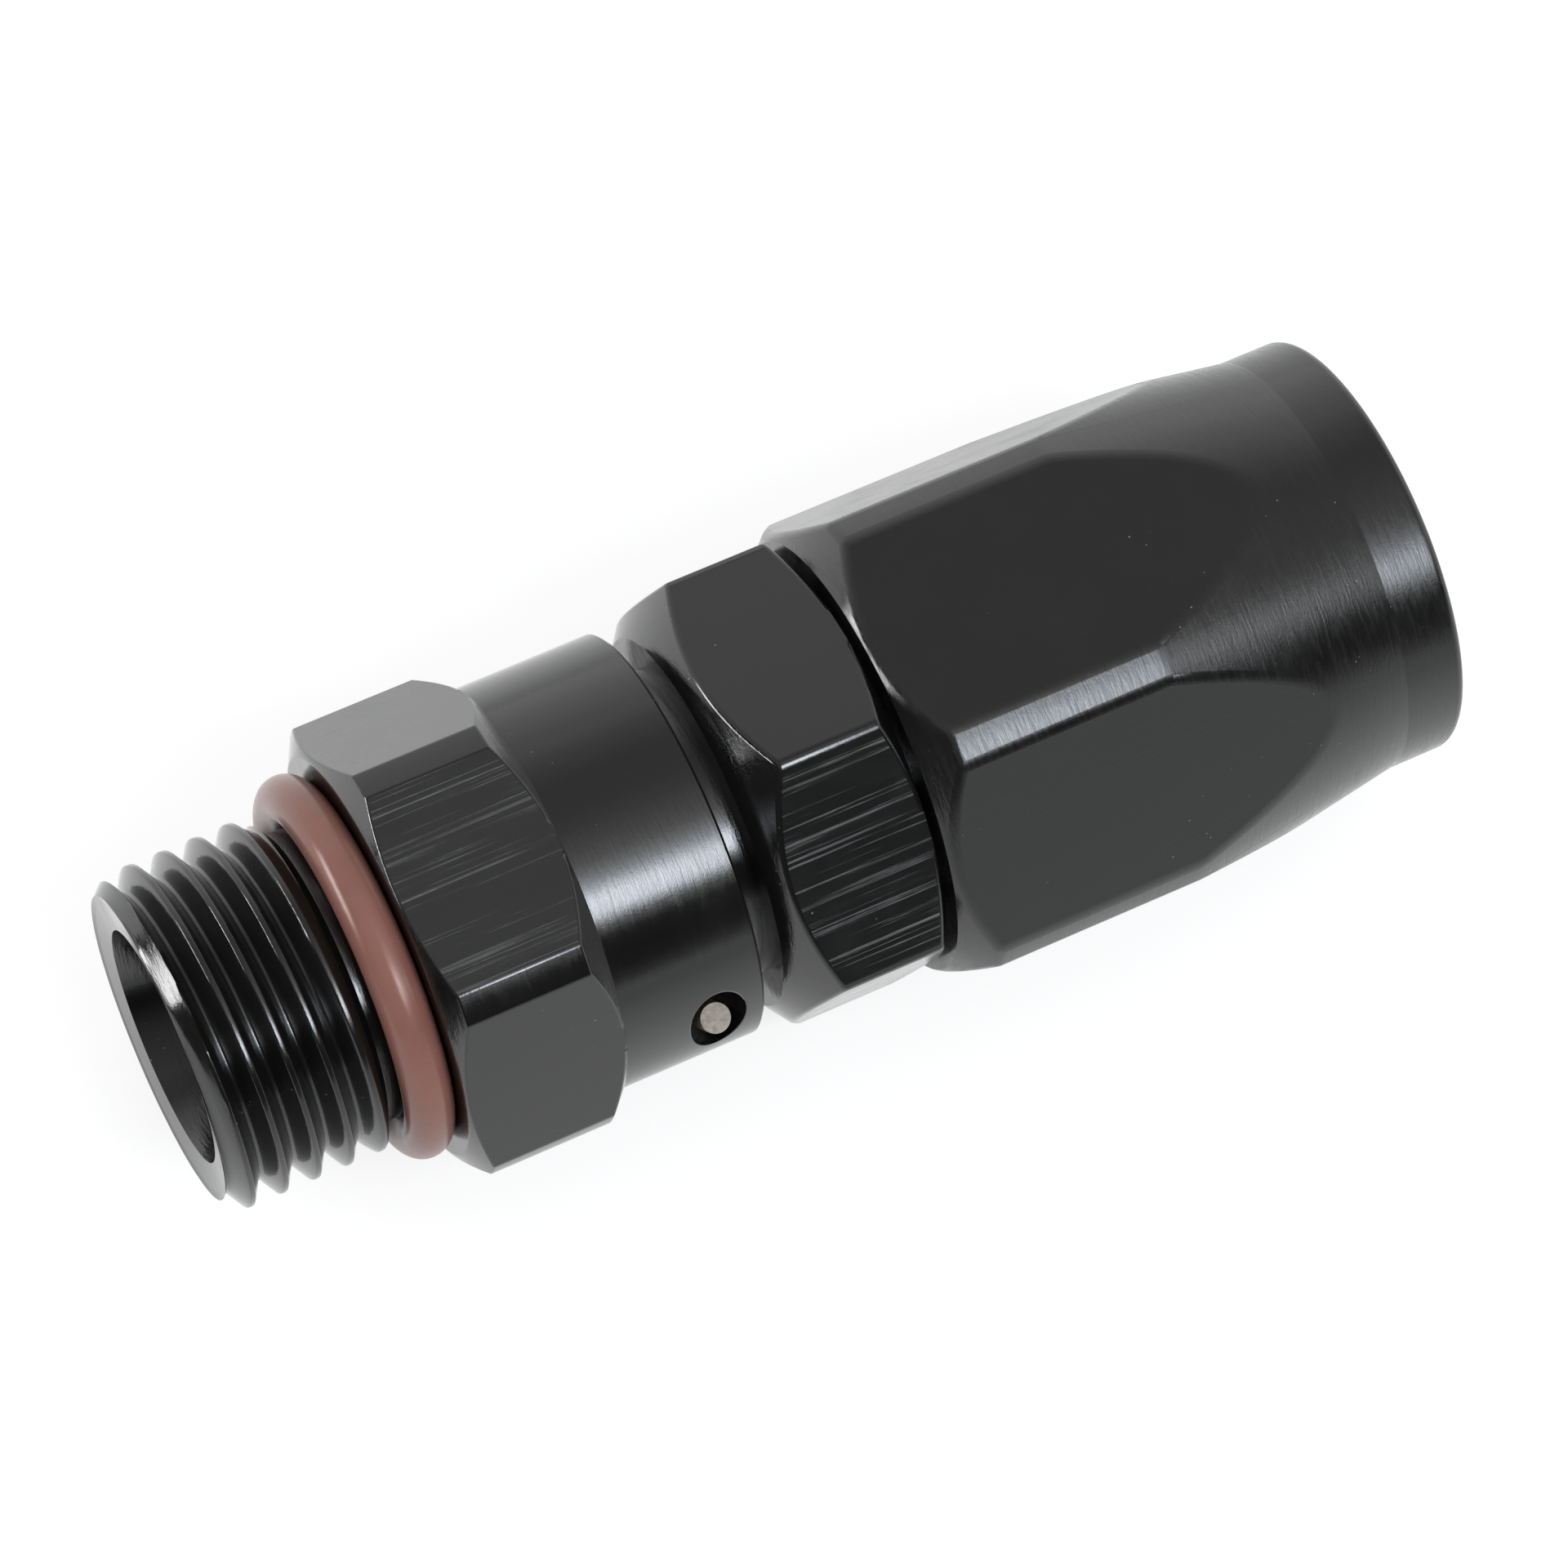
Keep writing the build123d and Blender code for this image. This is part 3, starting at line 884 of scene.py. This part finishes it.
STRIP_SHINE = 13.0
CARD_TARGET = MIDDLE + Vector((0, -0.05, 0.141))
CARD_AWAY = Vector((-0.34, 0, 0))
CARD_WIDTH = 0.7
CARD_HEIGHT = 0.30
CARD_SHINE = 0.06
TABLE_WIDTH = 3.0
TABLE_GREY = 0.5
TABLE_SEEN = 0.7
TABLE_MIRRORED = 0.15
TABLE_FRONT_MIRRORED = 0.45
TABLE_BACK_MIRRORED = 0.25
ROOM_LIGHT = 0.6
ROOM_SEEN = 1.0
LENS = 163.80
SENSOR = 36.0
CLIP_START = 0.01
CAMERA_PLACE = Vector((-0.039671, -0.1079311, 0.2568749))
CAMERA_RIGHT = Vector((0.895987, -0.44142, 0.048533))
CAMERA_UP = Vector((0.377331, 0.814379, 0.440917))
CAMERA_BACK = Vector((-0.234154, -0.376743, 0.896235))

# Places in millimetres, across the axis and along it, between which the table's mirrored side rises
TABLE_FRONT = (-100.0, -20.0)
TABLE_BACK = (0.0, 10.0)
TABLE_BACK_ALONG = (45.0, 15.0)

# The tent's shine by the angle about the axis in degrees, and the window that it adds to it
TENT_RADIUS = 0.62
TENT = (
    (0, 0.55), (2, 0.30), (5, 0.18), (10, 0.06), (20, 0.03), (30, 0.08), (44, 0.20), (60, 0.30),
    (75, 0.35), (91, 0.40), (107, 0.36), (115, 0.35), (123, 0.45), (131, 0.56), (139, 0.76),
    (147, 0.80), (155, 0.92), (163, 1.0), (171, 1.1), (180, 1.12))
WINDOW = (
    (30, 0.0), (36, 1.2), (39.5, 6.0), (42, 11.5), (46, 13.0), (51, 13.0), (55, 8.0), (59, 4.2),
    (64, 2.0), (70, 0.9), (78, 0.45), (88, 0.1), (96, 0.0))

# The window's share of its shine by the distance along the axis
WINDOW_ENDS = (
    (-0.9, 0.0), (-0.03, 0.0), (-0.02, 1.0), (0.146, 1.0), (0.158, 0.38), (0.33, 0.36),
    (0.36, 0.09), (0.6, 0.06), (0.9, 0.0))


def glow(name, strength=None):
    """Plain shine for a card, or one read from its mesh."""
    finish = Finish(bpy.data.materials.new(name))
    finish.owner.cycles.emission_sampling = "NONE"
    tint = grey(1.0)
    if strength is None:
        strength = finish.layer("shine")
        tint = finish.blend(finish.step(strength, *WINDOW_TINT_RISE), WHITE, WINDOW_TINT)
    return finish.surface(finish.node(
        "ShaderNodeEmission", None, {"Color": tint, "Strength": strength}))


def only_mirrored(sheet):
    """Hides a card from all but reflections."""
    sheet.visible_camera = False
    sheet.visible_diffuse = False
    sheet.visible_shadow = False
    sheet.visible_transmission = False


def flat_sheet(name, width, height, place, target, material):
    """Stage sheet that faces a target."""
    bm = bmesh.new()
    bmesh.ops.create_grid(bm, x_segments=1, y_segments=1, size=0.5)
    bmesh.ops.scale(bm, vec=(width, height, 1.0), verts=bm.verts[:])
    turned = (target - place).to_track_quat("Z", "Y").to_matrix().to_4x4()
    bmesh.ops.transform(bm, matrix=Matrix.Translation(place) @ turned, verts=bm.verts[:])
    sheet = mesh_object(bm, name)
    sheet.data.materials.append(material)
    return sheet


def between(stops, at):
    """Value of a table of stops, drawn straight from one stop to the next."""
    for (low, first), (high, last) in zip(stops, stops[1:]):
        if low <= at <= high:
            return first + (last - first) * (at - low) / (high - low)
    return 0.0


def light_tent():
    """Bent card over the object, grey by its angle about the axis, with a bright window in it."""
    bm = bmesh.new()
    shine = bm.verts.layers.float.new("shine")
    rows = []
    for angle in sorted({angle for angle, strength in TENT + WINDOW}):
        away = TENT_RADIUS * Vector((0, -cos(radians(angle)), sin(radians(angle))))
        row = []
        for side, share in WINDOW_ENDS:
            v = bm.verts.new(MIDDLE + away + Vector((side, 0, 0)))
            v[shine] = between(TENT, angle) + between(WINDOW, angle) * share
            row.append(v)
        rows.append(row)
    for low, high in zip(rows, rows[1:]):
        for corners in zip(low, low[1:], high[1:], high):
            bm.faces.new(corners)
    tent = mesh_object(bm, "tent")
    tent.data.materials.append(glow("tent"))
    only_mirrored(tent)


def soft_lamp(name, way, reach, width, height):
    """Area lamp that faces the object from a direction and shows in no reflection."""
    data = bpy.data.lights.new(name, "AREA")
    data.shape = "RECTANGLE"
    data.size = width
    data.size_y = height
    data.energy = LAMP_SHINE * pi * width * height
    data.color = LAMP_TINT
    lamp = add_object(name, data)
    turned = (-way).to_track_quat("-Z", "Y").to_matrix().to_4x4()
    lamp.matrix_world = Matrix.Translation(MIDDLE + reach * way.normalized()) @ turned
    lamp.visible_glossy = False
    return lamp


def axes_matrix(place, *axes):
    """Placement at a point with three given axes."""
    return Matrix.Translation(place) @ Matrix(axes).transposed().to_4x4()


def key_lamp():
    """Long lamp parallel to the axis; the tent's window is its reflection."""
    angle = radians((KEY_FIRST + KEY_LAST) / 2)
    away = Vector((0, -cos(angle), sin(angle)))
    side = Vector((1, 0, 0))
    height = 2 * KEY_REACH * tan(radians(KEY_LAST - KEY_FIRST) / 2)
    lamp = soft_lamp("key", away, KEY_REACH, KEY_LENGTH, height)
    lamp.matrix_world = axes_matrix(
        MIDDLE + KEY_REACH * away + KEY_SHIFT * side, side, away.cross(side), away)


class HOSEEND_OT_stage(bpy.types.Operator):
    """Pale table, soft lamps, grey cards and the camera"""

    bl_idname = "hose_end.stage"
    bl_label = "Stage"

    def execute(self, context):
        scene = context.scene
        scene.view_settings.view_transform = "Standard"
        self.lay_table()
        self.light_room(scene)
        key_lamp()
        soft_lamp("left_lamp", LEFT_LAMP_WAY, LEFT_LAMP_REACH, LEFT_LAMP_WIDTH, LEFT_LAMP_HEIGHT)
        only_mirrored(flat_sheet(
            "left_strip", STRIP_WIDTH, STRIP_HEIGHT, SEAL_MIDDLE + STRIP_REACH * STRIP_WAY,
            SEAL_MIDDLE, glow("left_strip", STRIP_SHINE)))
        light_tent()
        only_mirrored(flat_sheet(
            "left_card", CARD_WIDTH, CARD_HEIGHT, CARD_TARGET + CARD_AWAY, CARD_TARGET,
            glow("left_card", CARD_SHINE)))
        self.aim_camera(scene)
        return {"FINISHED"}

    def lay_table(self):
        """Table that looks white, and is darker in the object's reflections."""
        finish = Finish(bpy.data.materials.new("pale_table"))
        finish.owner.cycles.emission_sampling = "NONE"
        place = finish.place()
        along, across = (
            finish.node(
                "ShaderNodeVectorMath", {"operation": "DOT_PRODUCT"}, {0: place, 1: way}, "Value")
            for way in ((1, 0, 0), (0, 1, 0)))
        front = finish.step(across, *TABLE_FRONT)
        back = finish.step(across, *TABLE_BACK) * finish.step(along, *TABLE_BACK_ALONG)
        seen = finish.ray("Camera") + finish.ray("Transmission")
        mirrored = front * front * TABLE_FRONT_MIRRORED + back * TABLE_BACK_MIRRORED
        mirrored = (mirrored + TABLE_MIRRORED) * finish.ray("Glossy")
        plain = finish.node("ShaderNodeBsdfDiffuse", None, {"Color": grey(TABLE_GREY)})
        shine = finish.node("ShaderNodeEmission", None, {
            "Color": grey(1.0), "Strength": seen * TABLE_SEEN + mirrored})
        both = finish.node("ShaderNodeAddShader", None, {0: plain, 1: shine})
        middle = Vector((MIDDLE.x, 0.0, CAD_BOX[0][2]))
        flat_sheet(
            "table", TABLE_WIDTH, TABLE_WIDTH, middle, middle + Vector((0, 0, 1)),
            finish.surface(both))

    def light_room(self, scene):
        """White room, a little darker as a light than it looks."""
        finish = Finish(bpy.data.worlds.new("room"))
        finish.owner.cycles.sampling_method = "NONE"
        sight = finish.ray("Camera") + finish.ray("Glossy") + finish.ray("Transmission")
        strength = finish.node(
            "ShaderNodeMapRange", None, {"Value": sight, "To Min": ROOM_LIGHT, "To Max": ROOM_SEEN})
        shine = finish.node(
            "ShaderNodeBackground", None, {"Color": grey(1.0), "Strength": strength})
        scene.world = finish.surface(shine, "ShaderNodeOutputWorld")

    def aim_camera(self, scene):
        """Camera that stands and looks as the photo's did."""
        data = bpy.data.cameras.new("camera")
        data.lens = LENS
        data.sensor_width = SENSOR
        data.clip_start = CLIP_START
        camera = add_object("camera", data)
        camera.matrix_world = axes_matrix(CAMERA_PLACE, CAMERA_RIGHT, CAMERA_UP, CAMERA_BACK)
        scene.camera = camera


OPERATORS = (
    HOSEEND_OT_port_body, HOSEEND_OT_nipple, HOSEEND_OT_socket, HOSEEND_OT_port_seal,
    HOSEEND_OT_solids, HOSEEND_OT_stage)


class HOSEEND_PT_panel(bpy.types.Panel):
    """Sizes, colours and pieces of the hose end"""

    bl_idname = "HOSEEND_PT_panel"
    bl_label = "Hose end"
    bl_space_type = "VIEW_3D"
    bl_region_type = "UI"
    bl_category = "Hose end"

    def draw(self, context):
        column = self.layout.column()
        for group in (context.scene.hose_end_sizes, context.scene.hose_end_colours):
            for name in group.bl_rna.properties.keys():
                if name not in ("rna_type", "name"):
                    column.prop(group, name)
        for operator in OPERATORS:
            column.operator(operator.bl_idname)


CLASSES = (HoseEndSizes, HoseEndColours, *OPERATORS, HOSEEND_PT_panel)


def register():
    for cls in CLASSES:
        bpy.utils.register_class(cls)
    bpy.types.Scene.hose_end_sizes = PointerProperty(type=HoseEndSizes)
    bpy.types.Scene.hose_end_colours = PointerProperty(type=HoseEndColours)


def unregister():
    del bpy.types.Scene.hose_end_colours
    del bpy.types.Scene.hose_end_sizes
    for cls in reversed(CLASSES):
        bpy.utils.unregister_class(cls)


def main():
    register()
    bpy.ops.hose_end.port_body()
    bpy.ops.hose_end.nipple()
    bpy.ops.hose_end.socket()
    bpy.ops.hose_end.port_seal()
    bpy.ops.hose_end.solids()
    bpy.ops.hose_end.stage()


if __name__ == "__main__":
    main()
